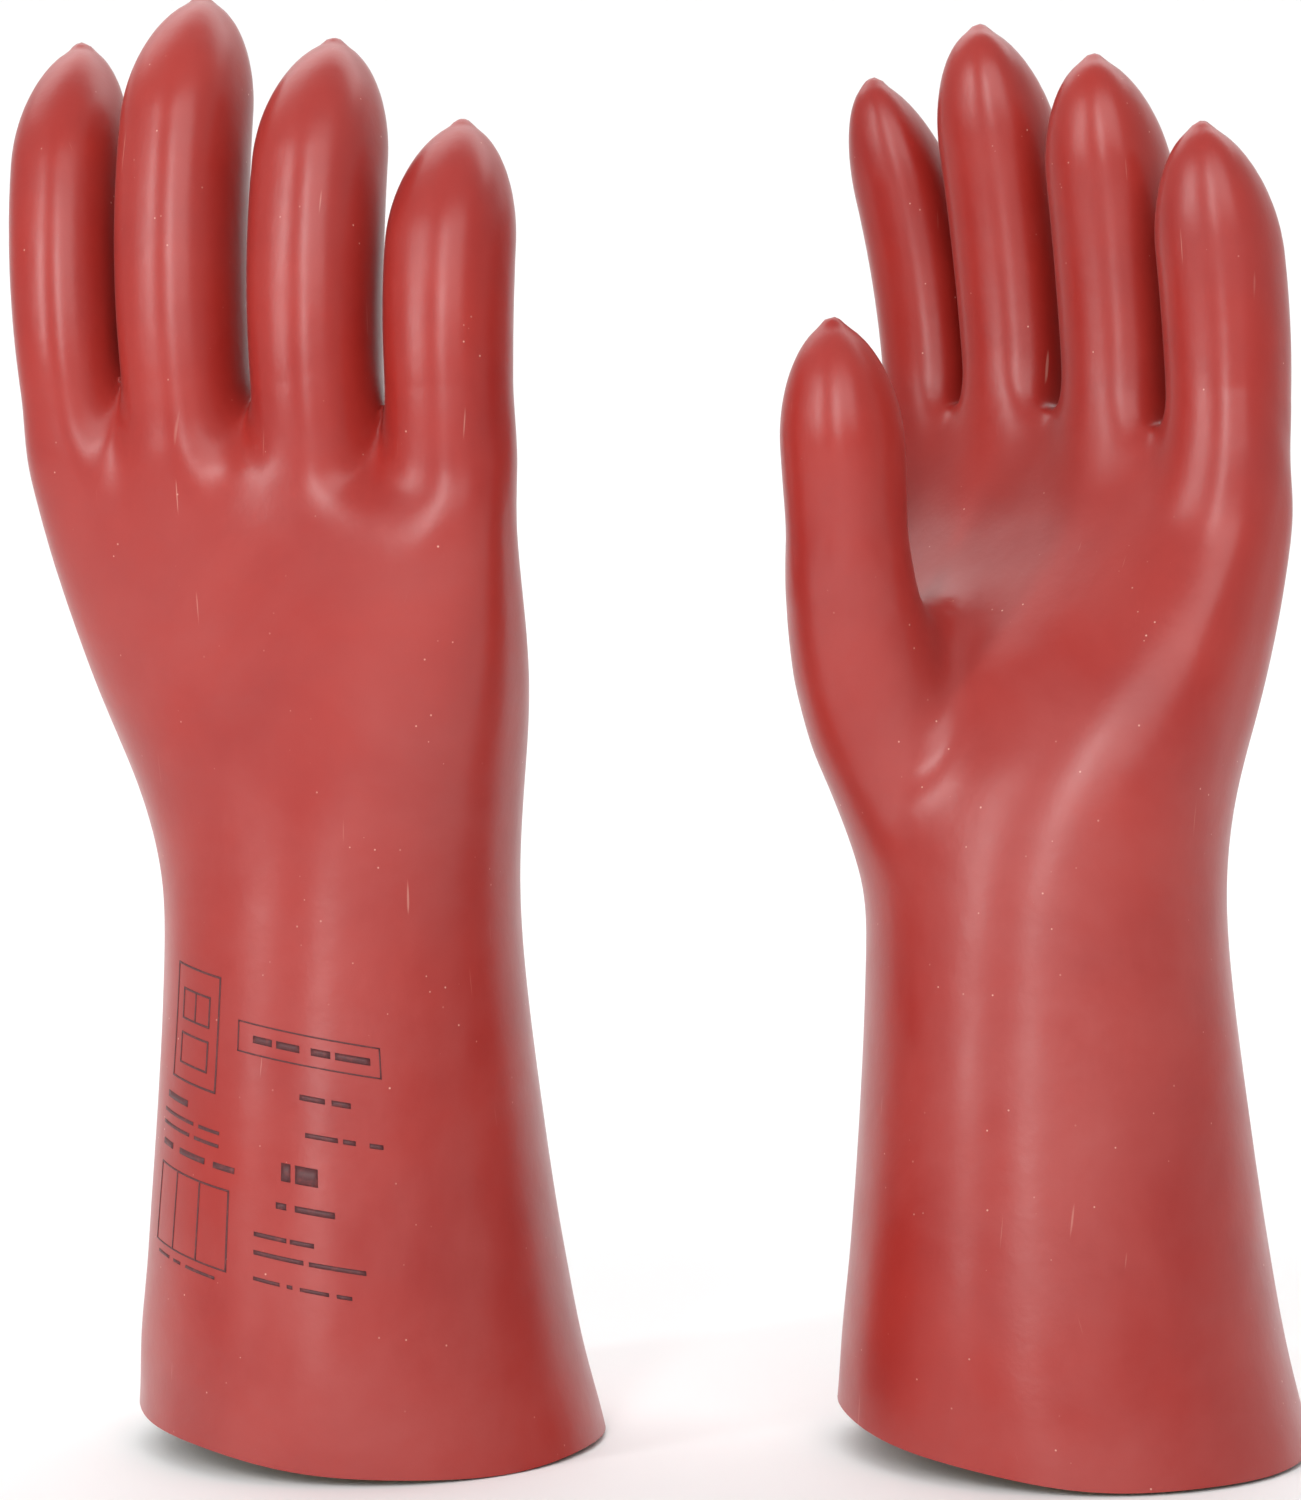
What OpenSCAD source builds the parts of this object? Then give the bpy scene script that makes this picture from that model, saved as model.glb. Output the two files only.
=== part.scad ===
// A pair of electrical insulating gloves: moulded rubber gauntlets, each of two bonded
// layers, standing on their cuff rims. Millimetres, +Z up, floor at z = 0.
// Glove axes: x runs to the little-finger side, y to the palm side, z up from the rim.

/* [Pair] */
// distance between the two cuff centres along X
pair_gap = 172; // [165:1:240]
// how far the left glove stands in front of the right one
pair_step = 10; // [0:1:40]
// turn of the right-hand glove about its upright, thumb away
right_turn = 26; // [0:1:45]
// turn of the left-hand glove about its upright, palm forward
left_turn = 35; // [0:1:45]

/* [Layers] */
// thickness of the red outer layer
outer_wall = 1.3; // [1:0.1:1.5]
// thickness of the pale inner layer
liner_wall = 1; // [0.7:0.1:1.2]

/* [Cuff and hand] */
// radius of the open rim
rim_r = 57.5; // [55:0.5:60]
// half breadth of the wrist, thumb side to little-finger side
wrist_half_w = 44.5; // [42.5:0.5:46]
// half depth of the wrist, back to palm
wrist_half_d = 43; // [41.5:0.5:43.5]
// height of the wrist flex line above the rim
wrist_z = 136; // [133:1:138]
// half breadth across the knuckles
palm_half_w = 60.5; // [59:0.5:62]
// height of the crotches between the fingers
palm_top_z = 235; // [234:0.5:236]

/* [Fingers] */
// height of the finger flex lines
flex_z = 258; // [257.5:0.5:260]
// index finger length beyond its flex line
index_len = 87; // [82:1:90]
// middle finger length beyond its flex line
middle_len = 97; // [91:1:100]
// ring finger length beyond its flex line
ring_len = 84; // [79:1:88]
// little finger length beyond its flex line
little_len = 65; // [60:1:70]
// thumb length beyond its flex line
thumb_len = 51; // [46:1:54]

/* [Printed marking] */
// width of the printed area on the back of the cuff
mark_w = 56; // [40:1:56]
// height of the printed area
mark_h = 66; // [50:1:66]
// height of the foot of the printed area above the rim
mark_z = 35; // [24:1:35]

/* [Hidden] */
clear = 0.5;
bond = 0.3;
film = 0.3;
wrist_r = 46.5;
finger_r = 19.5;
thumb_r = 16.3;
pair_mid = [16, -8.5];
wrist_mid = [-9, -1];
red = [0.72, 0.22, 0.2];
cream = [0.86, 0.76, 0.6];
ink = [0.25, 0.08, 0.09];

// height, centre x, centre y, half breadth, half depth, squareness and turn of the section
cuff_rows = [
  [0, 0, 0, rim_r, rim_r + 0.5, 2, 0],
  [17, -3, -1, rim_r - 3.5, rim_r + 0.5, 2, 0],
  [36, -4, -1, 51.5, 55, 2, 0],
  [58, -5.5, -1.5, 49.5, 51.5, 2, 0],
  [80, -6.5, -1.5, 47.5, 48.5, 2, 0],
  [100, -7.5, -1.5, 46, 45.5, 2, 0],
  [120, -8.5, -1.5, wrist_half_w, wrist_half_d, 2.05, 0.5],
];
hand_rows = [
  [138, -9, -1.5, wrist_half_w - 0.5, wrist_half_d - 2, 2.1, 1],
  [160, -11, -3, palm_half_w - 12, 38.5, 2.2, 2],
  [184, -12.5, -9.5, palm_half_w - 5, 33, 2.4, 4],
  [206, -13, -18, palm_half_w - 1.5, 27, 2.5, 6],
  [222, -13.5, -24.5, palm_half_w, 21.5, 2.6, 7],
  [palm_top_z, -14, -28, palm_half_w, 18, 2.6, 7],
];
trunk_rows = concat(cuff_rows, hand_rows);

// flex point, fan angle, lean, sideways bend, palmward curl, length, half breadth, half depth,
// and the foot of the root inside the palm with its half size
index = [[-61, -39.5, flex_z], -4, 6.5, -4.5, 25, index_len, 13, 15.7, [-50, -23, 200], 11.5];
middle = [[-32, -35, flex_z], -4, 3.5, 0.5, 20, middle_len, 14.2, 16.7, [-26, -19, 200], 12];
ring = [[0.5, -28, flex_z], -2, 2, 1, 15, ring_len, 14.8, 16.3, [0, -15, 200], 12];
little = [[32, -19.5, flex_z - 2], -2, 2, -1.5, 12.5, little_len, 14.5, 14.9, [25, -12, 198], 12];
thumb = [[-39.5, 42, 222], 4, -10.5, -3.5, -2.5, thumb_len, 14.1, 14.6];

// thumb root: centre, half breadth, half depth, lean
thumb_rows = [
  [[-41, 36.5, 205], 16.5, 16.5, -16],
  [[-38.5, 28.5, 185], 17.5, 17.5, -22],
  [[-34, 17, 162], 18, 18, -24],
  [[-25, 4, 134], 18.5, 19, -20],
];

function oval(a, b, e, n) =
  [for (i = [0:n - 1])
    let (t = 360 * i / n, c = cos(t), s = sin(t))
      [a * sign(c) * pow(abs(c), 2 / e), b * sign(s) * pow(abs(s), 2 / e)]];

function turn_x(a, p) = [p.x, p.y * cos(a) - p.z * sin(a), p.y * sin(a) + p.z * cos(a)];
function turn_y(a, p) = [p.x * cos(a) + p.z * sin(a), p.y, p.z * cos(a) - p.x * sin(a)];

// how a stall narrows over the last part of its length
function nose(h) = pow(1 - pow(1 - min(h, 1), 2), 0.55);
// how its breadth swells at mid length
function swell(k) = 1 - 0.04 * pow(2 * k - 0.9, 2);
// sides of a section: the inner layer is coarser
function trunk_sides(inset) = inset > outer_wall ? 14 : 28;
function stall_sides(inset) = inset > outer_wall ? 8 : 16;

// level section of the cuff or palm
function trunk_ring(row, inset) =
  [for (p = oval(row[3] - inset, row[4] - inset, row[5], trunk_sides(inset)))
    [row[1] + p.x * cos(row[6]) - p.y * sin(row[6]),
     row[2] + p.x * sin(row[6]) + p.y * cos(row[6]),
     min(row[0], palm_top_z - inset)]];

// section of a stall, on its own axes, at distance s beyond the flex line
function stall_ring(f, s, inset) =
  let (
    up = max(s, 0) / f[5],
    along = [2 * f[3] * up / f[5], 2 * f[4] * up / f[5], 1],
    across = [1, 0, -along.x] / norm([1, 0, -along.x]),
    deep = cross(along / norm(along), across),
    w = swell(up) * nose((f[5] - inset - s) / 30),
    a = max((f[6] - inset) * w, 0.8),
    b = max((f[7] - inset) * w, 0.8)
  )
  [for (p = oval(a, b, 2.4, stall_sides(inset)))
    [f[3] * up * up, f[4] * up * up, s] + p.x * across + p.y * deep];

// the same section on the glove's axes
function placed_ring(f, s, inset) =
  [for (p = stall_ring(f, s, inset)) f[0] + turn_y(f[1], turn_x(f[2], p))];

// level section where a finger's root ends inside the palm
function foot_ring(f, inset) =
  [for (p = oval(f[9] - inset, f[9] - inset, 2.2, stall_sides(inset))) f[8] + [p.x, p.y, 0]];

function thumb_ring(row, inset) =
  [for (p = oval(row[1] - inset, row[2] - inset, 2.3, stall_sides(inset)))
    row[0] + turn_x(row[3], [p.x, p.y, 0])];

// convex length between two sections
module link(a, b) {
  n = len(a);
  hull() polyhedron(
    points = concat(a, b),
    faces = concat(
      [[for (i = [0:n - 1]) n - 1 - i], [for (i = [0:n - 1]) n + i]],
      [for (i = [0:n - 1]) [i, (i + 1) % n, n + i]],
      [for (i = [0:n - 1]) [(i + 1) % n, n + (i + 1) % n, n + i]]
    )
  );
}

// solid of the cuff and palm between two rows of the table, drawn in by an inset
module trunk(first, last, inset) {
  for (i = [first:last - 1])
    link(trunk_ring(trunk_rows[i], inset), trunk_ring(trunk_rows[i + 1], inset));
}

// places children on a stall's own axes: x across, y palmward, z along
module on_stall(f) {
  translate(f[0]) rotate([0, f[1], 0]) rotate([f[2], 0, 0]) children();
}

// free part of a stall, from below its flex line to the tip
module stall(f, from, inset) {
  end = f[5] - inset;
  stops = [from, 2, (end - 30) * 0.55, end - 30, end - 19, end - 10, end - 3.5, end];
  for (i = [0:len(stops) - 2])
    link(stall_ring(f, stops[i], inset), stall_ring(f, stops[i + 1], inset));
}

// root of a finger, from the flex line down into the palm
module root(f, inset) {
  link(foot_ring(f, inset), placed_ring(f, 0, inset));
}

module thumb_root(inset) {
  link(thumb_ring(thumb_rows[0], inset), placed_ring(thumb, 0, inset));
  for (i = [0:len(thumb_rows) - 2])
    link(thumb_ring(thumb_rows[i + 1], inset), thumb_ring(thumb_rows[i], inset));
}

// drum about the wrist flex line and the space above it
module wrist_side(r) {
  translate([wrist_mid.x, wrist_mid.y, wrist_z]) rotate([0, 90, 0])
    cylinder(r = r, h = 240, center = true, $fn = 60);
  translate([-170, -150, wrist_z]) cube([300, 300, 140]);
}

// drum about a finger's flex line, as long as the finger is broad
module finger_drum(f, r, half) {
  on_stall(f) rotate([0, 90, 0]) cylinder(r = r, h = 2 * half, center = true, $fn = 36);
}

module thumb_drum(r, half) {
  on_stall(thumb) rotate([90, 0, 0]) cylinder(r = r, h = 2 * half, center = true, $fn = 36);
}

// space beyond a stall's flex line
module beyond(f, half) {
  on_stall(f) translate([-half, -40, 0]) cube([2 * half, 80, 130]);
}

module finger_side(f, r, half) {
  finger_drum(f, r, half);
  beyond(f, half);
}

// everything that belongs to the fingers and thumb
module stalls_side() {
  for (f = [index, middle, ring, little])
    finger_side(f, finger_r + clear, f[6] + 0.7);
  thumb_drum(thumb_r + clear, thumb[7] + 1.5);
  on_stall(thumb) translate([-20, -thumb[7] - 1.5, 0]) cube([40, 60, 60]);
}

module hand_solid(inset) {
  trunk(3, len(trunk_rows) - 1, inset);
  for (f = [index, middle, ring, little])
    root(f, inset);
  thumb_root(inset);
}

// one layer of the hand, from the wrist to the flex lines of the fingers
module hand_layer(outside, inside) {
  intersection() {
    difference() {
      hand_solid(outside);
      hand_solid(inside);
      stalls_side();
    }
    wrist_side(wrist_r);
  }
}

// one layer of the cuff, from the rim to the wrist
module cuff_layer(outside, inside) {
  difference() {
    trunk(0, 8, outside);
    translate([0, 0, -0.01]) trunk(0, 8, inside);
    wrist_side(wrist_r + clear);
  }
}

module finger_layer(f, outside, inside) {
  on_stall(f) intersection() {
    difference() {
      stall(f, -24, outside);
      translate([0, 0, -0.01]) stall(f, -24, inside);
    }
    union() {
      rotate([0, 90, 0]) cylinder(r = finger_r, h = 60, center = true, $fn = 36);
      translate([-40, -60, 0]) cube([80, 120, 130]);
    }
  }
}

module thumb_layer(outside, inside) {
  on_stall(thumb) intersection() {
    difference() {
      stall(thumb, -17, outside);
      translate([0, 0, -0.01]) stall(thumb, -17, inside);
    }
    union() {
      rotate([90, 0, 0]) cylinder(r = thumb_r, h = 60, center = true, $fn = 36);
      translate([-40, -60, 0]) cube([80, 120, 100]);
    }
  }
}

// printed film on the back of the cuff
module mark_film() {
  intersection() {
    difference() {
      trunk(1, 6, -0.05 - film);
      trunk(1, 6, -0.05);
    }
    translate([-4 - mark_w / 2, -70, mark_z]) cube([mark_w, 60, mark_h]);
  }
}

module right_place() {
  translate([pair_mid.x - pair_gap / 2, pair_mid.y + pair_step / 2, 0])
    rotate([0, 0, -right_turn]) children();
}

module left_place() {
  translate([pair_mid.x + pair_gap / 2, pair_mid.y - pair_step / 2, 0])
    rotate([0, 0, -left_turn]) mirror([0, 1, 0]) children();
}

lin0 = outer_wall + bond;
lin1 = lin0 + liner_wall;

module right_cuff_outer() { color(red) right_place() cuff_layer(0, outer_wall); }
module right_cuff_liner() { color(cream) right_place() cuff_layer(lin0, lin1); }
module right_marking() { color(ink) right_place() mark_film(); }
module right_hand_outer() { color(red) right_place() hand_layer(0, outer_wall); }
module right_hand_liner() { color(cream) right_place() hand_layer(lin0, lin1); }
module right_thumb_outer() { color(red) right_place() thumb_layer(0, outer_wall); }
module right_thumb_liner() { color(cream) right_place() thumb_layer(lin0, lin1); }
module right_index_outer() { color(red) right_place() finger_layer(index, 0, outer_wall); }
module right_index_liner() { color(cream) right_place() finger_layer(index, lin0, lin1); }
module right_middle_outer() { color(red) right_place() finger_layer(middle, 0, outer_wall); }
module right_middle_liner() { color(cream) right_place() finger_layer(middle, lin0, lin1); }
module right_ring_outer() { color(red) right_place() finger_layer(ring, 0, outer_wall); }
module right_ring_liner() { color(cream) right_place() finger_layer(ring, lin0, lin1); }
module right_little_outer() { color(red) right_place() finger_layer(little, 0, outer_wall); }
module right_little_liner() { color(cream) right_place() finger_layer(little, lin0, lin1); }

module left_cuff_outer() { color(red) left_place() cuff_layer(0, outer_wall); }
module left_cuff_liner() { color(cream) left_place() cuff_layer(lin0, lin1); }
module left_marking() { color(ink) left_place() mark_film(); }
module left_hand_outer() { color(red) left_place() hand_layer(0, outer_wall); }
module left_hand_liner() { color(cream) left_place() hand_layer(lin0, lin1); }
module left_thumb_outer() { color(red) left_place() thumb_layer(0, outer_wall); }
module left_thumb_liner() { color(cream) left_place() thumb_layer(lin0, lin1); }
module left_index_outer() { color(red) left_place() finger_layer(index, 0, outer_wall); }
module left_index_liner() { color(cream) left_place() finger_layer(index, lin0, lin1); }
module left_middle_outer() { color(red) left_place() finger_layer(middle, 0, outer_wall); }
module left_middle_liner() { color(cream) left_place() finger_layer(middle, lin0, lin1); }
module left_ring_outer() { color(red) left_place() finger_layer(ring, 0, outer_wall); }
module left_ring_liner() { color(cream) left_place() finger_layer(ring, lin0, lin1); }
module left_little_outer() { color(red) left_place() finger_layer(little, 0, outer_wall); }
module left_little_liner() { color(cream) left_place() finger_layer(little, lin0, lin1); }

right_cuff_outer();
right_cuff_liner();
right_marking();
right_hand_outer();
right_hand_liner();
right_thumb_outer();
right_thumb_liner();
right_index_outer();
right_index_liner();
right_middle_outer();
right_middle_liner();
right_ring_outer();
right_ring_liner();
right_little_outer();
right_little_liner();
left_cuff_outer();
left_cuff_liner();
left_marking();
left_hand_outer();
left_hand_liner();
left_thumb_outer();
left_thumb_liner();
left_index_outer();
left_index_liner();
left_middle_outer();
left_middle_liner();
left_ring_outer();
left_ring_liner();
left_little_outer();
left_little_liner();
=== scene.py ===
import bpy
import math
import numpy as np
from mathutils import Matrix, Vector


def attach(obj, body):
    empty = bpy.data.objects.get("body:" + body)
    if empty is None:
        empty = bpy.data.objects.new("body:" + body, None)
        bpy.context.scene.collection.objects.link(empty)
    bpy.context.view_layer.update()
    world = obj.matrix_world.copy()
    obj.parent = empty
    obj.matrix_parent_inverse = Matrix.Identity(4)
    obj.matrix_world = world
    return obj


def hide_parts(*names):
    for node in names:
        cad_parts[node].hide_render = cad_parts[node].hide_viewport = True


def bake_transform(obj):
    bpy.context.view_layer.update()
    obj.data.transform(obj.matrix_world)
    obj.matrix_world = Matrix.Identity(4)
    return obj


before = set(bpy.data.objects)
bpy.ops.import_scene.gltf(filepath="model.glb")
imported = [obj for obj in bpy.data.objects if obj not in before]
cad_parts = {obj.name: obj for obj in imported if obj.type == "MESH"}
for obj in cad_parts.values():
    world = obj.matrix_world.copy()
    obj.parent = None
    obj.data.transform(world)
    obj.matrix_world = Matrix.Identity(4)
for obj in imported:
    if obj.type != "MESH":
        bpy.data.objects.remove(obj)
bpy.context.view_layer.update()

# ---------------------------------------------------------------- camera

CAMERA_AT = (-0.002, -0.791, 0.170)  # level, looking along +Y
CAMERA_LENS = 76.0
camera_data = bpy.data.cameras.new("camera")
camera = bpy.data.objects.new("camera", camera_data)
bpy.context.scene.collection.objects.link(camera)
camera_data.sensor_width = 36.0
camera_data.lens = CAMERA_LENS
camera.matrix_world = Matrix.Translation(CAMERA_AT) @ Matrix.Rotation(math.radians(90.0), 4, "X")
bpy.context.scene.camera = camera
bpy.context.scene.view_settings.view_transform = "Standard"

# ---------------------------------------------------------------- glove shape, in millimetres
# For the right-hand glove x is to the little finger, y to the palm and z up from the rim.
# The left-hand glove is the same shape with y turned round.
# Most numbers in TRUNK, STALLS and THUMB_ROOT, the gloves' places and the lens weren't chosen by
# hand: a least-squares fit to the photo's outline gave them. They were rounded, and some changed.

SKIN = 1.3  # thickness of the red layer
LINING = 1.0  # thickness of the pale layer
RIGHT_AT = (-70.0, -3.5, -26.0)  # x and y of the rim's centre, and the glove's turn about Z
LEFT_AT = (102.0, -13.5, -35.0)
# The top of the palm, between the fingers, in the middle of the palm's thickness
WEB_TOP = 251.5  # its height between index and middle finger
WEB_DROP = 14.0  # how much lower it is at the little finger
WEB_SLOPE = 0.6  # its rise towards the palm side
WEB_FROM, WEB_TO = -46.0, 30.0  # the stretch of x over which it drops

# cuff and palm: height, centre x, centre y, half breadth, half depth, squareness, turn of the section
TRUNK = np.array(
    [
        (-20, 0.0, 0.0, 60.5, 60.0, 2.0, 0.0),
        (0, 0.0, 0.0, 57.5, 58.0, 2.0, 0.0),
        (17, -3.0, -1.0, 54.0, 58.0, 2.0, 0.0),
        (36, -4.0, -1.0, 51.5, 55.0, 2.0, 0.0),
        (58, -5.5, -1.5, 49.5, 51.5, 2.0, 0.0),
        (80, -6.5, -1.5, 47.5, 48.5, 2.0, 0.0),
        (100, -7.5, -1.5, 46.0, 45.5, 2.0, 0.0),
        (120, -8.5, -1.5, 44.5, 43.0, 2.05, 0.5),
        (138, -9.0, -1.5, 44.0, 41.0, 2.1, 1.0),
        (160, -11.0, -3.0, 48.5, 38.5, 2.2, 2.0),
        (184, -12.5, -9.5, 55.2, 33.0, 2.6, 4.0),
        (206, -13.0, -18.0, 58.2, 27.0, 2.9, 6.0),
        (222, -13.5, -24.5, 59.5, 21.5, 3.1, 7.0),
        (240, -14.0, -29.5, 59.3, 16.0, 3.1, 7.5),
        (262, -13.0, -33.0, 58.5, 13.0, 3.1, 7.5),
    ]
)
# the five stalls: flex point, fan and lean in degrees, sideways bend and curl at the tip,
# length from the flex point, half breadth, half depth
STALLS = {
    "index": ((-61.0, -39.5, 258.0), -4.0, 6.5, -4.5, 25.0, 87.0, 13.0, 15.8),
    "middle": ((-32.2, -35.0, 258.0), -3.9, 3.5, 0.8, 20.0, 97.0, 14.7, 17.2),
    "ring": ((0.2, -28.0, 258.0), -2.2, 2.0, 0.3, 15.0, 84.5, 15.0, 17.3),
    "little": ((32.0, -19.8, 256.0), -1.6, 2.0, -0.5, 12.5, 65.0, 14.7, 15.9),
    "thumb": ((-39.5, 42.0, 222.0), 4.0, -10.5, -3.5, -2.5, 51.0, 14.2, 14.6),
}
FINGERS = ("index", "middle", "ring", "little")
DIGITS = FINGERS + ("thumb",)
STALL_SQUARENESS = 2.4
NOSE = 30.0  # length of a stall's pointed end
NOSE_POWER = 1.818  # how blunt that end is
KNOB, KNOB_SINK = 2.4, 1.2  # radius of the small knob at a stall's tip, and how deep it is set
# each stall goes on below its flex point, as a root that bends and narrows to its foot in the hand
FEET = {
    "index": (-44.0, -14.0, 182.0),
    "middle": (-22.0, -11.0, 182.0),
    "ring": (0.0, -9.0, 182.0),
    "little": (21.0, -8.0, 180.0),
    "thumb": (-41.0, 30.0, 190.0),
}
ROOT_FROM = 14.0  # how far below its flex point a root starts to narrow
# the ball of the thumb, a round tube: height, centre x, centre y and radius
THUMB_ROOT = np.array(
    [
        (122, -22.0, 0.0, 15.0),
        (138, -27.0, 5.5, 18.0),
        (156, -33.5, 14.0, 19.0),
        (173, -38.8, 22.5, 18.8),
        (189, -41.2, 30.0, 17.6),
        (205, -41.2, 36.5, 16.2),
        (216, -39.8, 41.0, 15.2),
        (226, -39.3, 42.8, 13.2),
        (238, -38.4, 45.0, 9.0),
    ]
)
# the web behind the thumb: centre and radius at each end
THUMB_WEB = (-40.0, 32.0, 195.5), 10.5, (-33.0, 2.0, 195.5), 10.5
# fillets where the parts of the glove meet
HAND_FILLET, THUMB_FILLET, WEB_FILLET, BALL_FILLET = 12.0, 16.0, 12.0, 3.0
# between neighbouring fingers the fillet shrinks with height, over a stretch that ends at FINGER_GAP_Z
LOW_GAP_FILLET, HIGH_GAP_FILLET = 10.0, 0.8
FINGER_GAP_Z, FINGER_GAP_STRETCH = 280.0, 34.0


def smooth_table(table, step=1.0, sigma=9.0):
    """The columns of a table against its first one, at every step of it, rounded off."""
    z = np.arange(table[0, 0], table[-1, 0] + step, step)
    reach = int(4 * sigma / step)
    kernel = np.exp(-0.5 * (np.arange(-reach, reach + 1) * step / sigma) ** 2)
    kernel /= kernel.sum()
    columns = []
    for k in range(1, table.shape[1]):
        line = np.interp(z, table[:, 0], table[:, k])
        ends = (
            line[0] + (line[1] - line[0]) * np.arange(-reach, 0),
            line[-1] + (line[-1] - line[-2]) * np.arange(1, reach + 1),
        )
        columns.append(np.convolve(np.concatenate([ends[0], line, ends[1]]), kernel, "valid"))
    return z, columns


TRUNK_Z, TRUNK_COLUMNS = smooth_table(TRUNK)


def smin(a, b, k):
    """The smaller of two distances, with a fillet k wide where they are nearly the same."""
    h = np.clip(k - np.abs(a - b), 0.0, None) / k
    return np.minimum(a, b) - h * h * h * k / 6.0


def turn(points, axis, degrees):
    """Points turned about an axis through the origin."""
    c, s = math.cos(math.radians(degrees)), math.sin(math.radians(degrees))
    x, y, z = points[..., 0], points[..., 1], points[..., 2]
    if axis == "x":
        return np.stack([x, y * c - z * s, y * s + z * c], -1)
    if axis == "y":
        return np.stack([x * c + z * s, y, z * c - x * s], -1)
    return np.stack([x * c - y * s, x * s + y * c, z], -1)


def to_stall(points, stall):
    return turn(turn(points - np.array(stall[0]), "y", -stall[1]), "x", -stall[2])


def from_stall(points, stall):
    return turn(turn(points, "x", stall[2]), "y", stall[1]) + np.array(stall[0])


def trunk_distance(p):
    """Signed distance to the cuff and palm, about right near their surface."""
    z = p[..., 2]
    cx, cy, a, b, n, angle = [np.interp(z, TRUNK_Z, c) for c in TRUNK_COLUMNS]
    dx, dy = p[..., 0] - cx, p[..., 1] - cy
    c, s = np.cos(np.radians(angle)), np.sin(np.radians(angle))
    depth = c * dy - s * dx
    x, y = np.abs(c * dx + s * dy), np.abs(depth)
    u, v = (x + 0.01) / a, (y + 0.01) / b
    g = (u**n + v**n) ** (1.0 / n)
    slope = np.hypot((u / g) ** (n - 1) / a, (v / g) ** (n - 1) / b)
    d = (g - 1.0) / slope
    across = np.clip((p[..., 0] - WEB_FROM) / (WEB_TO - WEB_FROM), 0.0, 1.0)
    drop = WEB_DROP * (across * across * (3.0 - 2.0 * across)) ** 1.3
    top = (z - WEB_TOP + drop - WEB_SLOPE * depth) / math.hypot(1.0, WEB_SLOPE)
    return -smin(-d, -top, HAND_FILLET)


def stall_distance(p, name):
    """Signed distance to a stall with its root, and how far along its axis each point is."""
    stall = STALLS[name]
    q = to_stall(p, stall)
    foot = to_stall(np.array(FEET[name]), stall)
    root = -foot[2]
    bend_x, bend_y, length, a0, b0 = stall[3:8]
    s = q[..., 2]
    up = np.clip(s, 0.0, None) / length
    below = np.clip(-s / root, 0.0, None)
    x = np.abs(q[..., 0] - bend_x * up * up - foot[0] * below * below) + 0.01
    y = np.abs(q[..., 1] - bend_y * up * up - foot[1] * below * below) + 0.01
    n = STALL_SQUARENESS
    swell = 1.0 - 0.04 * (2.0 * np.clip(up, 0, 1) - 0.9) ** 2
    down = np.clip((-s - ROOT_FROM) / (root - ROOT_FROM), 0.0, 1.0)
    half = a0 * swell * (1.0 - 0.7 * down * down * (3.0 - 2.0 * down))
    rho = (x**n + (y * a0 / b0) ** n) ** (1.0 / n)
    e = NOSE_POWER
    t = np.clip(s - (length - NOSE), 0.0, None) / NOSE
    r = rho / half
    f = r**e + t * t - 1.0
    slope = np.hypot(e * r ** (e - 1.0) / half, 2.0 * t / NOSE)
    body = f / np.maximum(slope, 1e-4)
    body = -smin(-body, s + root, 6.0)
    tip = np.array([bend_x, bend_y, length - KNOB_SINK])
    knob = np.sqrt(((q - tip) ** 2).sum(-1)) - KNOB
    return smin(body, knob, 3.0), s


def cone_distance(p, a, ra, b, rb):
    """Signed distance to a round bar from a to b, with a ball at each end."""
    a, b = np.array(a), np.array(b)
    ab = b - a
    h = np.clip(((p - a) @ ab) / (ab @ ab), 0.0, 1.0)
    return np.sqrt(((p - a - h[..., None] * ab) ** 2).sum(-1)) - (ra + (rb - ra) * h)


THUMB_Z, THUMB_COLUMNS = smooth_table(THUMB_ROOT, sigma=5.0)
THUMB_SLOPES = [np.gradient(c, THUMB_Z) for c in THUMB_COLUMNS[:2]]


def thumb_root_distance(p):
    """Signed distance to the ball of the thumb."""
    z = p[..., 2]
    cx, cy, radius = [np.interp(z, THUMB_Z, c) for c in THUMB_COLUMNS]
    slope_x, slope_y = [np.interp(z, THUMB_Z, c) for c in THUMB_SLOPES]
    dx, dy = p[..., 0] - cx, p[..., 1] - cy
    beyond = z - np.clip(z, THUMB_Z[0], THUMB_Z[-1])
    along = (dx * slope_x + dy * slope_y) ** 2 / (1.0 + slope_x**2 + slope_y**2)
    return np.sqrt(dx * dx + dy * dy - along + beyond * beyond) - radius


def glove_distance(p):
    """Signed distance to the outer skin of the right-hand glove."""
    low = np.clip((FINGER_GAP_Z - p[..., 2]) / FINGER_GAP_STRETCH, 0.0, 1.0)
    share = low * low * (3.0 - 2.0 * low)
    gap_fillet = HIGH_GAP_FILLET + (LOW_GAP_FILLET - HIGH_GAP_FILLET) * share
    fingers = None
    for name in FINGERS:
        finger = stall_distance(p, name)[0]
        fingers = finger if fingers is None else smin(fingers, finger, gap_fillet)
    thumb = smin(stall_distance(p, "thumb")[0], thumb_root_distance(p), BALL_FILLET)
    thumb = smin(thumb, cone_distance(p, *THUMB_WEB), WEB_FILLET)
    return smin(smin(trunk_distance(p), fingers, HAND_FILLET), thumb, THUMB_FILLET)


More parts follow.
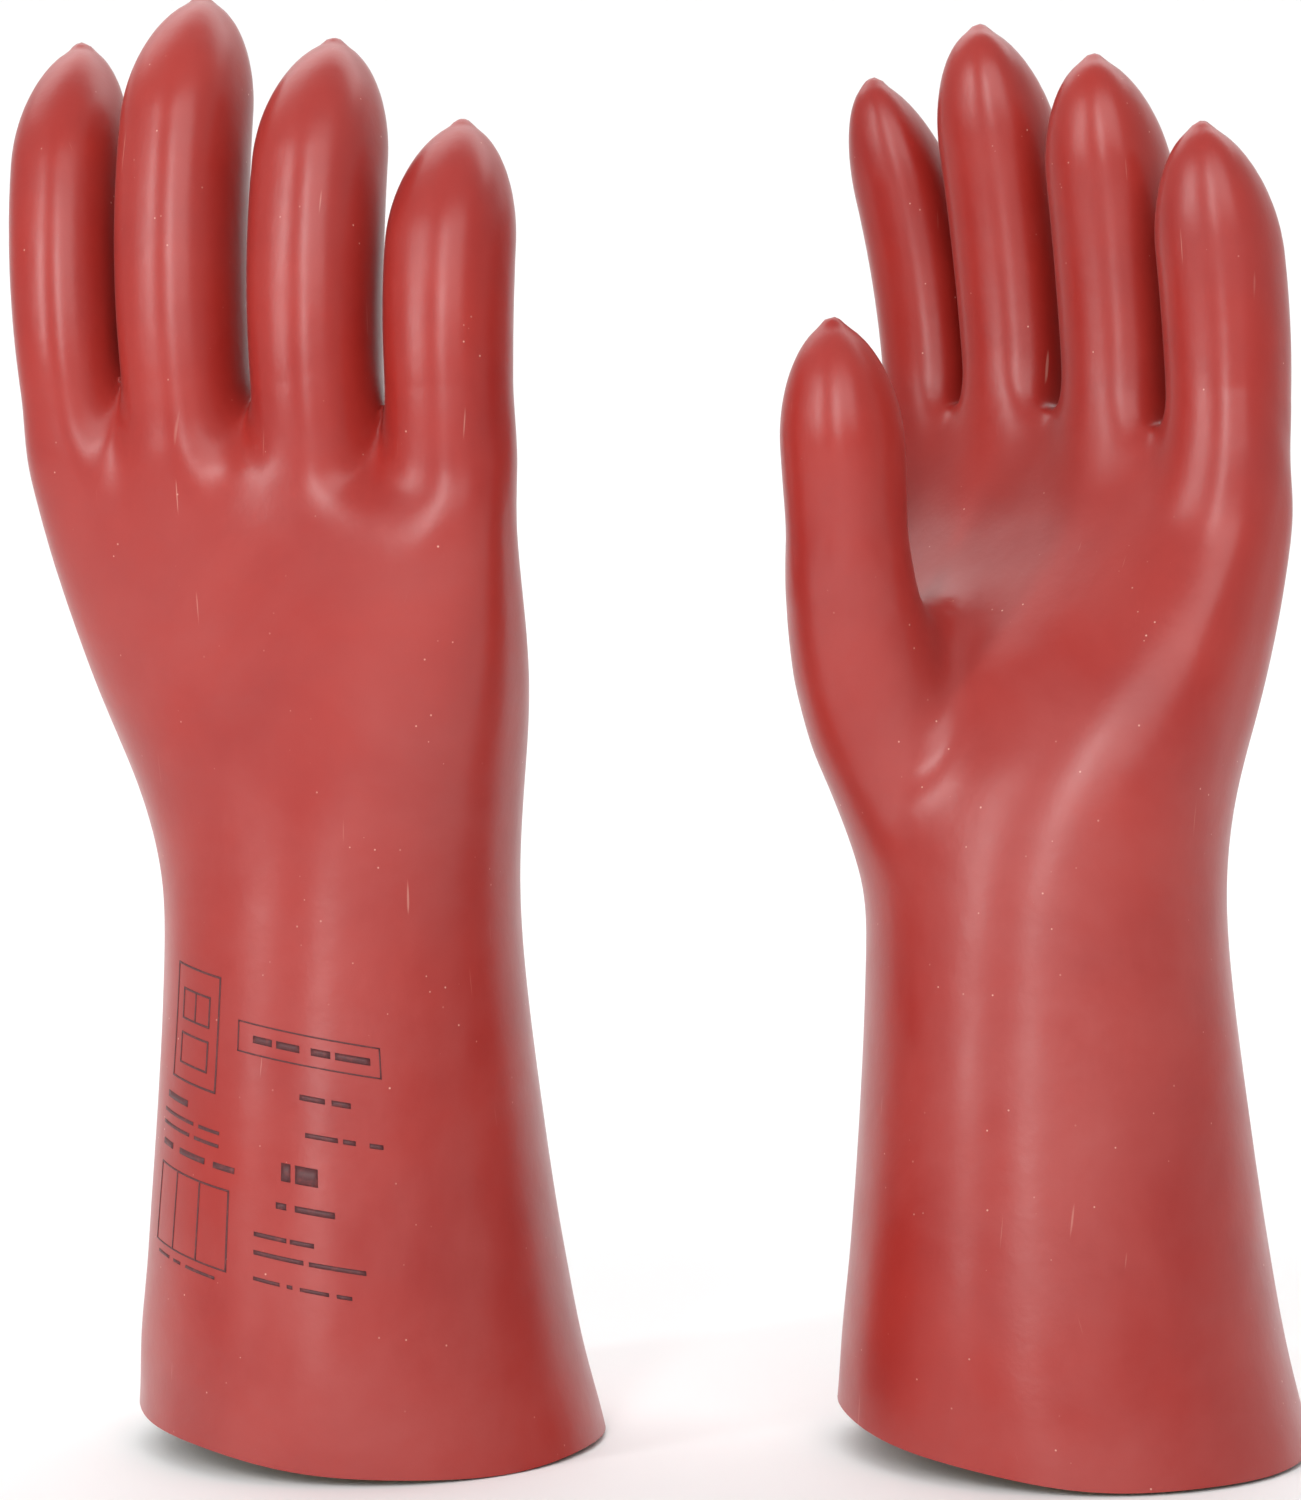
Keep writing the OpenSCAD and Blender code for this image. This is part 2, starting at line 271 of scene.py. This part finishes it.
def surface(distance, low, high, step, level=0.0):
    """Quad mesh of the surface where distance equals level: surface nets, then moved onto it."""
    axes = [np.arange(low[k], high[k] + step, step) for k in range(3)]
    shape = tuple(len(a) for a in axes)
    values = np.empty(shape, np.float32)
    gx, gy = np.meshgrid(axes[0], axes[1], indexing="ij")
    for k in range(0, shape[2], 16):
        zs = axes[2][k : k + 16]
        block = np.empty(shape[:2] + (len(zs), 3))
        block[..., 0] = gx[..., None]
        block[..., 1] = gy[..., None]
        block[..., 2] = zs
        values[:, :, k : k + 16] = distance(block) - level
    inside = values < 0
    count = np.zeros(tuple(n - 1 for n in shape), np.uint8)
    corners = [(i, j, k) for i in (0, 1) for j in (0, 1) for k in (0, 1)]
    for i, j, k in corners:
        count += inside[i : shape[0] - 1 + i, j : shape[1] - 1 + j, k : shape[2] - 1 + k]
    cells = np.argwhere((count > 0) & (count < 8))
    index = np.full(count.shape, -1, np.int64)
    index[tuple(cells.T)] = np.arange(len(cells))
    total = np.zeros((len(cells), 3))
    hits = np.zeros(len(cells))
    for a in corners:
        for axis in range(3):
            if a[axis] == 1:
                continue
            b = list(a)
            b[axis] = 1
            va = values[tuple((cells + a).T)]
            vb = values[tuple((cells + b).T)]
            cross = (va < 0) != (vb < 0)
            share = np.where(cross, va / np.where(cross, va - vb, 1.0), 0.0)
            point = np.repeat(np.array([a], float), len(cells), 0)
            point[:, axis] = share
            total += np.where(cross[:, None], point, 0.0)
            hits += cross
    co = (cells + total / hits[:, None]) * step + np.array(low)
    faces = []
    for axis in range(3):
        o1, o2 = [k for k in range(3) if k != axis]
        first = [slice(1, -1)] * 3
        first[axis] = slice(0, -1)
        second = list(first)
        second[axis] = slice(1, None)
        va, vb = inside[tuple(first)], inside[tuple(second)]
        at = np.argwhere(va != vb)
        if not len(at):
            continue
        flip = va[tuple(at.T)]
        base = at + 1
        base[:, axis] -= 1
        step1, step2 = np.eye(3, dtype=int)[o1], np.eye(3, dtype=int)[o2]
        quad = [base - step1 - step2, base - step2, base, base - step1]
        quad = np.stack([index[tuple(c.T)] for c in quad], 1)
        if axis == 1:
            flip = ~flip
        faces.append(np.where(flip[:, None], quad, quad[:, ::-1]))
    faces = np.concatenate(faces)
    faces = faces[(faces >= 0).all(1)]
    for _ in range(4):
        d, normal = gradient(distance, co)
        co = co - np.clip(d - level, -step, step)[:, None] * normal
    return co, faces


def gradient(distance, co, h=0.15):
    """How far each point is from the surface, and the direction straight away from it."""
    d = distance(co)
    g = np.stack(
        [distance(co + h * e) - distance(co - h * e) for e in np.eye(3)], -1
    ) / (2 * h)
    length = np.maximum(np.linalg.norm(g, axis=1), 1e-6)
    return d / np.maximum(length, 0.3), g / length[:, None]


# ---------------------------------------------------------------- pieces

# where each stall's piece starts, along its axis from the flex point
CUT = {"index": 4.0, "middle": 4.0, "ring": 4.0, "little": 4.0, "thumb": -12.0}
BEND_LENGTH = 28.0  # length of each stall's stretch from its cut, whose ends are worked out but not used
WRIST_AXIS = (-9.0, -1.0)
WRIST_BENDS = (112.0, 160.0)  # heights of two points on the wrist's axis, worked out but not used
RIM_RISE, RIM_WAVE, RIM_REACH = 11.5, 1.5, 70.0  # lift of the rim, its waves, and how far up they go
GRID_LOW, GRID_HIGH = (-88.0, -66.0), (64.0, 70.0, 362.0)  # a box round the glove
LEFT_PATTERN = 300.0  # shift that gives the left glove its own clouds and specks


def place(co, side):
    """Glove millimetres to the frame's metres."""
    co = np.array(co, float)
    x0, y0, angle = RIGHT_AT if side == "right" else LEFT_AT
    if side == "left":
        co[..., 1] = -co[..., 1]
    return (turn(co, "z", angle) + np.array([x0, y0, 0.0])) / 1000.0


def place_vector(v, side):
    """Directions of the glove in the frame."""
    v = np.array(v, float)
    angle = RIGHT_AT[2] if side == "right" else LEFT_AT[2]
    if side == "left":
        v[..., 1] = -v[..., 1]
    return turn(v, "z", angle)


def shape_rim(co, side):
    """Lift the cuff's edge, which isn't cut level: it is higher towards the thumb, and waves."""
    angle = np.arctan2(co[:, 1], co[:, 0] + 4.0)
    phase = 0.6 if side == "right" else 2.1
    towards_thumb = 0.5 - 0.5 * np.cos(angle)
    wave = 0.5 + 0.5 * np.sin(3 * angle + phase) * 0.7 + 0.15 * np.sin(7 * angle + 2 * phase)
    lift = RIM_RISE * towards_thumb**1.5 + RIM_WAVE * wave
    fade = np.clip(1.0 - co[:, 2] / RIM_REACH, 0.0, 1.0)
    fade = fade * fade * (3 - 2 * fade)
    out = co.copy()
    out[:, 2] += lift * fade
    return out


def trim(co, faces, step):
    """Cut the sheet off at the rim, z = 0, where a layer of its points already lies."""
    keep = co[:, 2] > -0.5 * step
    faces = faces[keep[faces].all(1)]
    used = np.unique(faces)
    renumber = np.full(len(co), -1)
    renumber[used] = np.arange(len(used))
    co, faces = co[used].copy(), renumber[faces]
    low = np.abs(co[:, 2]) <= 0.5 * step
    co[low, 2] = 0.0
    return co, faces


def shell(co, normal, faces, thickness):
    """Close a sheet into a solid, with an inner copy and strips along its open edges."""
    count = len(co)
    inner = co - normal * thickness
    edges = np.concatenate([faces[:, [k, (k + 1) % 4]] for k in range(4)])
    forward = edges[:, 0] * count + edges[:, 1]
    backward = edges[:, 1] * count + edges[:, 0]
    open_edges = edges[~np.isin(forward, backward)]
    a, b = open_edges[:, 0], open_edges[:, 1]
    strip = np.stack([b, a, a + count, b + count], 1)
    return np.concatenate([co, inner]), np.concatenate([faces, faces[:, ::-1] + count, strip])


def pick(co, normal, faces, chosen):
    """The chosen faces with only the points that they use."""
    faces = faces[chosen]
    used = np.unique(faces)
    renumber = np.full(len(co), -1)
    renumber[used] = np.arange(len(used))
    return co[used], normal[used], renumber[faces]


def make_mesh(name, co, faces, side, material, rest, normals=None):
    """A quad mesh in the frame from glove millimetres; rest is where its pattern is read."""
    if side == "left":
        faces = faces[:, ::-1]
    mesh = bpy.data.meshes.new(name)
    mesh.vertices.add(len(co))
    mesh.vertices.foreach_set("co", place(co, side).astype(np.float32).ravel())
    mesh.loops.add(faces.size)
    mesh.loops.foreach_set("vertex_index", faces.astype(np.int32).ravel())
    mesh.polygons.add(len(faces))
    mesh.polygons.foreach_set("loop_start", np.arange(0, faces.size, 4, dtype=np.int32))
    mesh.update(calc_edges=True)
    mesh.polygons.foreach_set("use_smooth", np.ones(len(faces), bool))
    attribute = mesh.attributes.new("rest", "FLOAT_VECTOR", "POINT")
    attribute.data.foreach_set("vector", (rest / 1000.0).astype(np.float32).ravel())
    if normals is not None:
        loop_normals = place_vector(normals, side)[faces.ravel()]
        mesh.normals_split_custom_set(loop_normals)
    mesh.materials.append(material)
    piece = bpy.data.objects.new(name, mesh)
    bpy.context.scene.collection.objects.link(piece)
    return piece


def owner_of_faces(co, faces):
    """Which digit each face is on, or -1 for the cuff and hand."""
    centre = co[faces].mean(1)
    owner = np.full(len(faces), -1)
    best = np.full(len(faces), 1e9)
    for k, name in enumerate(FINGERS):
        d, s = stall_distance(centre, name)
        near = (d < best) & (s > CUT[name])
        owner[near], best[near] = k, d[near]
    d, s = stall_distance(centre, "thumb")
    on_thumb = (s > CUT["thumb"] + 1.0) & (d < trunk_distance(centre)) & (centre[:, 1] > -5.0) & (d < best)
    owner[on_thumb] = 4
    return owner


def blend_stall(piece, side, finger):
    """Bake the piece's place into its mesh; the ends of the stall's first BEND_LENGTH past its cut are
    worked out but not used.
    """
    stall = STALLS[finger]
    start = CUT[finger]
    stretch = (start, start + BEND_LENGTH)
    ends = [place(from_stall(np.array([0.0, 0.0, s]), stall), side) for s in stretch]
    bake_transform(piece)


def blend_wrist(piece, side):
    ends = [place(np.array([*WRIST_AXIS, z]), side) for z in WRIST_BENDS]
    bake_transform(piece)


def layer(kind, node_kind, material, step, level, thickness):
    """One layer of both gloves, as a cuff-and-hand piece and five stalls each."""
    low = (*GRID_LOW, -1.5 * step)  # so that a layer of points lies at z = 0
    co, faces = surface(glove_distance, low, GRID_HIGH, step, level)
    co, faces = trim(co, faces, step)
    _, normal = gradient(glove_distance, co)
    owner = owner_of_faces(co, faces)
    for side in ("right", "left"):
        shift = np.array([0.0 if side == "right" else LEFT_PATTERN, 0.0, 0.0])
        for k in range(-1, 5):
            sheet = pick(co, normal, faces, owner == k)
            solid, solid_faces = shell(*sheet, thickness)
            sheet_normal = np.concatenate([sheet[1], -sheet[1]])
            body = "glove" if k < 0 else DIGITS[k]
            piece = make_mesh(
                f"{side}_{body}_{kind}",
                shape_rim(solid, side),
                solid_faces,
                side,
                material,
                solid + shift,
                sheet_normal,
            )
            if k < 0:
                blend_wrist(piece, side)
                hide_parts(f"{side}_cuff_{node_kind}", f"{side}_hand_{node_kind}")
            else:
                blend_stall(piece, side, body)
                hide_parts(f"{side}_{body}_{node_kind}")


# ---------------------------------------------------------------- print on the cuff

# Plain bars and frames stand where the real glove has wording.
# u goes round the cuff towards the little finger from the middle of its back, v up from the rim, in mm
INK_OUT = 0.10  # how far the ink stands proud of the skin
INK_IN = 0.06  # how far it reaches into the skin
PRINT_SLOPE = 0.17  # the lines of print drop towards the little finger
CUFF_ROUND = 48.0  # millimetres of u in one radian
# a row of bars: v, height, then the two ends of each bar
BARS = [
    (102.0, 1.7, (1.7, 7.0), (8.2, 14.2), (17.1, 21.9), (23.1, 31.6)),
    (91.0, 1.3, (14.2, 20.3), (21.9, 26.4)),
    (82.5, 1.1, (15.5, 23.1), (24.3, 27.2), (30.4, 33.6)),
    (73.0, 4.2, (9.8, 12.0), (13.1, 18.3)),
    (65.0, 1.5, (8.6, 11.0), (13.0, 21.9)),
    (57.0, 1.1, (3.4, 11.0), (11.8, 17.1)),
    (52.5, 1.1, (3.4, 14.7), (15.9, 28.0)),
    (46.0, 0.9, (3.4, 9.4), (11.0, 12.2), (13.8, 19.9), (21.5, 24.7)),
    (82.0, 1.5, (-30.1, -19.4)),
    (78.0, 0.8, (-31.5, -16.5), (-14.4, -7.2)),
    (75.0, 0.8, (-31.5, -17.9), (-15.8, -7.2)),
    (70.5, 1.4, (-30.8, -25.1), (-21.5, -11.5), (-8.6, -2.2)),
    (42.8, 0.8, (-28.7, -22.9), (-20.8, -17.9), (-15.8, -6.5)),
]
# a frame: left, right, bottom, top, line width and the number of cells across
FRAMES = [
    (-2.7, 34.0, 98.5, 105.5, 0.35, 1),
    (-30.8, -3.6, 45.5, 65.5, 0.45, 3),
    (-27.9, -9.4, 87.0, 114.0, 0.50, 1),
    (-24.4, -12.9, 91.0, 98.0, 0.50, 1),
    (-24.4, -12.9, 101.5, 108.5, 0.50, 2),
]


def cuff_point(u, v, proud):
    """The point of the cuff's skin at u, v, standing proud of it by a little."""
    z = v - PRINT_SLOPE * u
    angle = u / CUFF_ROUND
    direction = np.stack([np.sin(angle), -np.cos(angle), np.zeros_like(angle)], -1)
    near, far = np.full(u.shape, 20.0), np.full(u.shape, 90.0)
    cx, cy = np.interp(z, TRUNK_Z, TRUNK_COLUMNS[0]), np.interp(z, TRUNK_Z, TRUNK_COLUMNS[1])
    centre = np.stack([cx, cy, z], -1)
    for _ in range(30):
        middle = 0.5 * (near + far)
        inside = glove_distance(centre + direction * middle[..., None]) < proud
        near, far = np.where(inside, middle, near), np.where(inside, far, middle)
    return centre + direction * near[..., None]


def bar_outline(u0, u1, v0, v1):
    return [(u0, v0), (u1, v0), (u1, v1), (u0, v1)]


def print_patches():
    """Outlines of all the bars, and of the lines that make the frames."""
    patches = []
    for v, height, *ends in BARS:
        for u0, u1 in ends:
            patches.append(bar_outline(u0, u1, v - height / 2, v + height / 2))
    for u0, u1, v0, v1, width, cells in FRAMES:
        for v in (v0, v1):
            patches.append(bar_outline(u0 - width / 2, u1 + width / 2, v - width / 2, v + width / 2))
        for u in np.linspace(u0, u1, cells + 1):
            patches.append(bar_outline(u - width / 2, u + width / 2, v0, v1))
    return patches


def make_print(side, material):
    """The ink: each bar is a thin solid that follows the cuff."""
    co, faces = [], []
    for (u0, v0), _, (u1, v1), _ in print_patches():
        across = max(1, int(math.ceil((u1 - u0) / 1.6)))
        up = max(1, int(math.ceil((v1 - v0) / 3.0)))
        u, v = np.meshgrid(np.linspace(u0, u1, across + 1), np.linspace(v0, v1, up + 1))
        start = len(co)
        grid = np.arange(u.size).reshape(u.shape)
        corners = [grid[:-1, :-1], grid[:-1, 1:], grid[1:, 1:], grid[1:, :-1]]
        quads = np.stack(corners, -1).reshape(-1, 4)
        top = cuff_point(u.ravel(), v.ravel(), INK_OUT)
        bottom = cuff_point(u.ravel(), v.ravel(), -INK_IN)
        rim = np.concatenate([grid[0, :], grid[1:, -1], grid[-1, -2::-1], grid[-2:0:-1, 0]])
        ahead = np.roll(rim, -1)
        side_quads = np.stack([rim, rim + u.size, ahead + u.size, ahead], 1)
        co.extend(np.concatenate([top, bottom]))
        faces.extend(np.concatenate([quads, quads[:, ::-1] + u.size, side_quads]) + start)
    co, faces = np.array(co), np.array(faces)
    piece = make_mesh(f"{side}_print", shape_rim(co, side), faces, side, material, co)
    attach(piece, side + "_cuff")
    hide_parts(side + "_marking")


# ---------------------------------------------------------------- materials


def new_material(name):
    material = bpy.data.materials.new(name)
    material.use_nodes = True
    tree = material.node_tree
    return material, tree, tree.nodes["Principled BSDF"]


def noise(tree, vector, scale, detail=3.0, roughness=0.5, distortion=0.0):
    node = tree.nodes.new("ShaderNodeTexNoise")
    node.inputs["Scale"].default_value = scale
    node.inputs["Detail"].default_value = detail
    node.inputs["Roughness"].default_value = roughness
    node.inputs["Distortion"].default_value = distortion
    tree.links.new(vector, node.inputs["Vector"])
    return node.outputs["Fac"]


def specks(tree, vector, scale):
    """Distance to the nearest of many scattered points."""
    node = tree.nodes.new("ShaderNodeTexVoronoi")
    node.inputs["Scale"].default_value = scale
    tree.links.new(vector, node.inputs["Vector"])
    return node.outputs["Distance"]


def stretched(tree, vector, scale, rotation=(0.0, 0.0, 0.0)):
    node = tree.nodes.new("ShaderNodeMapping")
    node.inputs["Scale"].default_value = scale
    node.inputs["Rotation"].default_value = rotation
    tree.links.new(vector, node.inputs["Vector"])
    return node.outputs["Vector"]


def ramp(tree, value, *stops):
    """A colour ramp; a stop is a position and a grey level or a colour."""
    node = tree.nodes.new("ShaderNodeValToRGB")
    elements = node.color_ramp.elements
    while len(elements) < len(stops):
        elements.new(0.5)
    for element, (position, colour) in zip(elements, stops):
        element.position = position
        element.color = (colour, colour, colour, 1.0) if isinstance(colour, float) else (*colour, 1.0)
    tree.links.new(value, node.inputs["Fac"])
    return node.outputs["Color"]


def combine(tree, operation, a, b):
    node = tree.nodes.new("ShaderNodeMath")
    node.operation = operation
    for socket, value in zip(node.inputs, (a, b)):
        if isinstance(value, float):
            socket.default_value = value
        else:
            tree.links.new(value, socket)
    return node.outputs["Value"]


def mix(tree, factor, a, b):
    """Colour a where factor is 0 and colour b where it is 1."""
    node = tree.nodes.new("ShaderNodeMix")
    node.data_type = "RGBA"
    for index, value in ((0, factor), (6, a), (7, b)):
        if isinstance(value, tuple):
            node.inputs[index].default_value = (*value, 1.0)
        else:
            tree.links.new(value, node.inputs[index])
    return node.outputs[2]


def bump(tree, height, strength, distance, normal=None):
    node = tree.nodes.new("ShaderNodeBump")
    node.inputs["Strength"].default_value = strength
    node.inputs["Distance"].default_value = distance
    tree.links.new(height, node.inputs["Height"])
    if normal is not None:
        tree.links.new(normal, node.inputs["Normal"])
    return node.outputs["Normal"]


def rest_position(tree):
    """Where a point was before any joint moved, so that the pattern stays on the rubber."""
    node = tree.nodes.new("ShaderNodeAttribute")
    node.attribute_name = "rest"
    return node.outputs["Vector"]


def height_of(tree, vector):
    """The Z of a position, here in metres above the rim."""
    node = tree.nodes.new("ShaderNodeSeparateXYZ")
    tree.links.new(vector, node.inputs["Vector"])
    return node.outputs["Z"]


RED = (0.352, 0.019, 0.012)
RED_DEEP = (0.302, 0.014, 0.010)
# a paler, whiter red for the painted sheen
RED_PAINTED_SHEEN = (0.395, 0.066, 0.058)
DUST = (0.80, 0.45, 0.36)
# two sets of fine scratches: how the noise is squeezed, and which way it is turned
SCRATCHES = [((900.0, 60.0, 38.0), (0.3, 0.5, 0.2)), ((55.0, 800.0, 30.0), (0.9, -0.4, 1.1))]
CREAM_DARK, CREAM_PALE = (0.56, 0.42, 0.25), (0.66, 0.52, 0.33)
INK_DARK, INK_WORN = (0.085, 0.018, 0.021), (0.20, 0.030, 0.028)


def red_rubber():
    """Smooth dipped rubber: cloudy red, a pale painted sheen in clouds, mostly on the cuff, with specks
    and scratches.
    """
    material, tree, shader = new_material("red_rubber")
    at = rest_position(tree)
    cloud = ramp(tree, noise(tree, at, 28.0, 4.0, 0.55), (0.35, 0.0), (0.65, 1.0))
    # painted sheen: clouds of a paler red in the colour, full below 0.14 m high and about a third as
    # strong above 0.24 m
    painted_sheen = ramp(tree, noise(tree, at, 16.0, 5.0, 0.6, 0.4), (0.40, 0.15), (0.78, 0.9))
    painted_sheen = combine(tree, "MULTIPLY", painted_sheen, ramp(tree, height_of(tree, at), (0.14, 1.0), (0.24, 0.35)))
    colour = mix(tree, painted_sheen, mix(tree, cloud, RED_DEEP, RED), RED_PAINTED_SHEEN)
    dust = ramp(tree, specks(tree, at, 260.0), (0.045, 0.7), (0.075, 0.0))
    patchy = ramp(tree, noise(tree, at, 75.0, 2.0), (0.52, 0.0), (0.62, 1.0))
    dust = combine(tree, "MULTIPLY", dust, patchy)
    colour = mix(tree, dust, colour, DUST)
    marks = None
    for scale, rotation in SCRATCHES:
        streaks = noise(tree, stretched(tree, at, scale, rotation), 1.0, 1.0)
        line = ramp(tree, streaks, (0.79, 0.0), (0.83, 0.3))
        marks = line if marks is None else combine(tree, "MAXIMUM", marks, line)
    colour = mix(tree, marks, colour, DUST)
    tree.links.new(colour, shader.inputs["Base Color"])
    rough = ramp(tree, noise(tree, at, 40.0, 5.0, 0.6), (0.3, 0.28), (0.7, 0.37))
    tree.links.new(rough, shader.inputs["Roughness"])
    shader.inputs["IOR"].default_value = 1.52
    shader.inputs["Sheen Weight"].default_value = 0.06
    shader.inputs["Sheen Roughness"].default_value = 0.35
    shader.inputs["Sheen Tint"].default_value = (1.0, 0.86, 0.86, 1.0)
    fine = bump(tree, noise(tree, at, 900.0, 3.0, 0.65), 0.10, 0.0002)
    normal = bump(tree, noise(tree, at, 95.0, 3.0, 0.5), 0.10, 0.0012, fine)
    tree.links.new(normal, shader.inputs["Normal"])
    return material


def cream_rubber():
    """The inner layer: matt natural rubber, faintly mottled."""
    material, tree, shader = new_material("cream_rubber")
    at = rest_position(tree)
    cloud = noise(tree, at, 60.0, 4.0, 0.6)
    colour = mix(tree, ramp(tree, cloud, (0.35, 0.0), (0.65, 1.0)), CREAM_DARK, CREAM_PALE)
    tree.links.new(colour, shader.inputs["Base Color"])
    tree.links.new(ramp(tree, cloud, (0.3, 0.58), (0.7, 0.7)), shader.inputs["Roughness"])
    grain = bump(tree, noise(tree, at, 700.0, 3.0, 0.6), 0.2, 0.0003)
    tree.links.new(grain, shader.inputs["Normal"])
    return material


def ink():
    """Dark red ink, thin and a little worn."""
    material, tree, shader = new_material("ink")
    at = rest_position(tree)
    worn = ramp(tree, noise(tree, at, 620.0, 3.0, 0.6), (0.50, 0.0), (0.72, 0.7))
    tree.links.new(mix(tree, worn, INK_DARK, INK_WORN), shader.inputs["Base Color"])
    shader.inputs["Roughness"].default_value = 0.5
    return material


def pale_floor():
    material, tree, shader = new_material("pale_floor")
    shader.inputs["Base Color"].default_value = (0.95, 0.95, 0.95, 1.0)
    shader.inputs["Roughness"].default_value = 0.7
    return material


# ---------------------------------------------------------------- build

STEP = 1.6
layer("skin", "outer", red_rubber(), STEP, 0.0, SKIN)
layer("lining", "liner", cream_rubber(), 3.5, -SKIN - 0.1, LINING)
ink_material = ink()
make_print("right", ink_material)
make_print("left", ink_material)

# ---------------------------------------------------------------- studio

MIDDLE = (0.0, -0.02, 0.17)  # of the pair, where the lights aim
FLOOR_HALF, FLOOR_FRONT = 6.0, -5.0
BACKDROP_Y, BACKDROP_ROUND, BACKDROP_TOP = 1.2, 1.2, 5.0  # where it starts, its radius, its height


def make_floor():
    """A pale floor that curves up behind into a backdrop."""
    profile = [(FLOOR_FRONT, 0.0), (BACKDROP_Y, 0.0)]
    for angle in np.linspace(0.1, math.pi / 2, 12):
        y = BACKDROP_Y + BACKDROP_ROUND * math.sin(angle)
        profile.append((y, BACKDROP_ROUND - BACKDROP_ROUND * math.cos(angle)))
    profile.append((BACKDROP_Y + BACKDROP_ROUND, BACKDROP_TOP))
    co = [(x, y, z) for y, z in profile for x in (-FLOOR_HALF, FLOOR_HALF)]
    faces = [(2 * k, 2 * k + 1, 2 * k + 3, 2 * k + 2) for k in range(len(profile) - 1)]
    mesh = bpy.data.meshes.new("floor")
    mesh.from_pydata(co, [], faces)
    mesh.polygons.foreach_set("use_smooth", np.ones(len(faces), bool))
    mesh.materials.append(pale_floor())
    floor = bpy.data.objects.new("floor", mesh)
    bpy.context.scene.collection.objects.link(floor)


def rectangle_light(name, at, size, power):
    """A rectangular light that shines down."""
    data = bpy.data.lights.new(name, "AREA")
    data.shape = "RECTANGLE"
    data.size, data.size_y = size
    data.energy = power
    light = bpy.data.objects.new(name, data)
    bpy.context.scene.collection.objects.link(light)
    light.location = at
    return light


def soft_light(name, azimuth, distance, height, size, power):
    """A softbox aimed at the gloves; azimuth 0 is the camera's side and 90 is +X."""
    angle = math.radians(azimuth)
    at = Vector((math.sin(angle) * distance, -math.cos(angle) * distance, height))
    light = rectangle_light(name, at, size, power)
    light.rotation_euler = (Vector(MIDDLE) - at).to_track_quat("-Z", "Y").to_euler()


def make_world(strength):
    world = bpy.data.worlds.new("studio")
    world.use_nodes = True
    background = world.node_tree.nodes["Background"]
    background.inputs["Color"].default_value = (1.0, 1.0, 1.0, 1.0)
    background.inputs["Strength"].default_value = strength
    bpy.context.scene.world = world


make_floor()
make_world(0.45)
# two upright strips give each finger its pair of highlights
soft_light("strip_1", -55.0, 1.3, 0.66, (0.13, 0.72), 4.3)
soft_light("strip_2", -17.0, 1.3, 0.66, (0.13, 0.72), 4.3)
soft_light("front_box", 8.0, 1.8, 1.2, (1.6, 1.2), 15.0)
rectangle_light("backdrop_light", (0.0, 2.0, 3.0), (6.0, 3.0), 110.0)
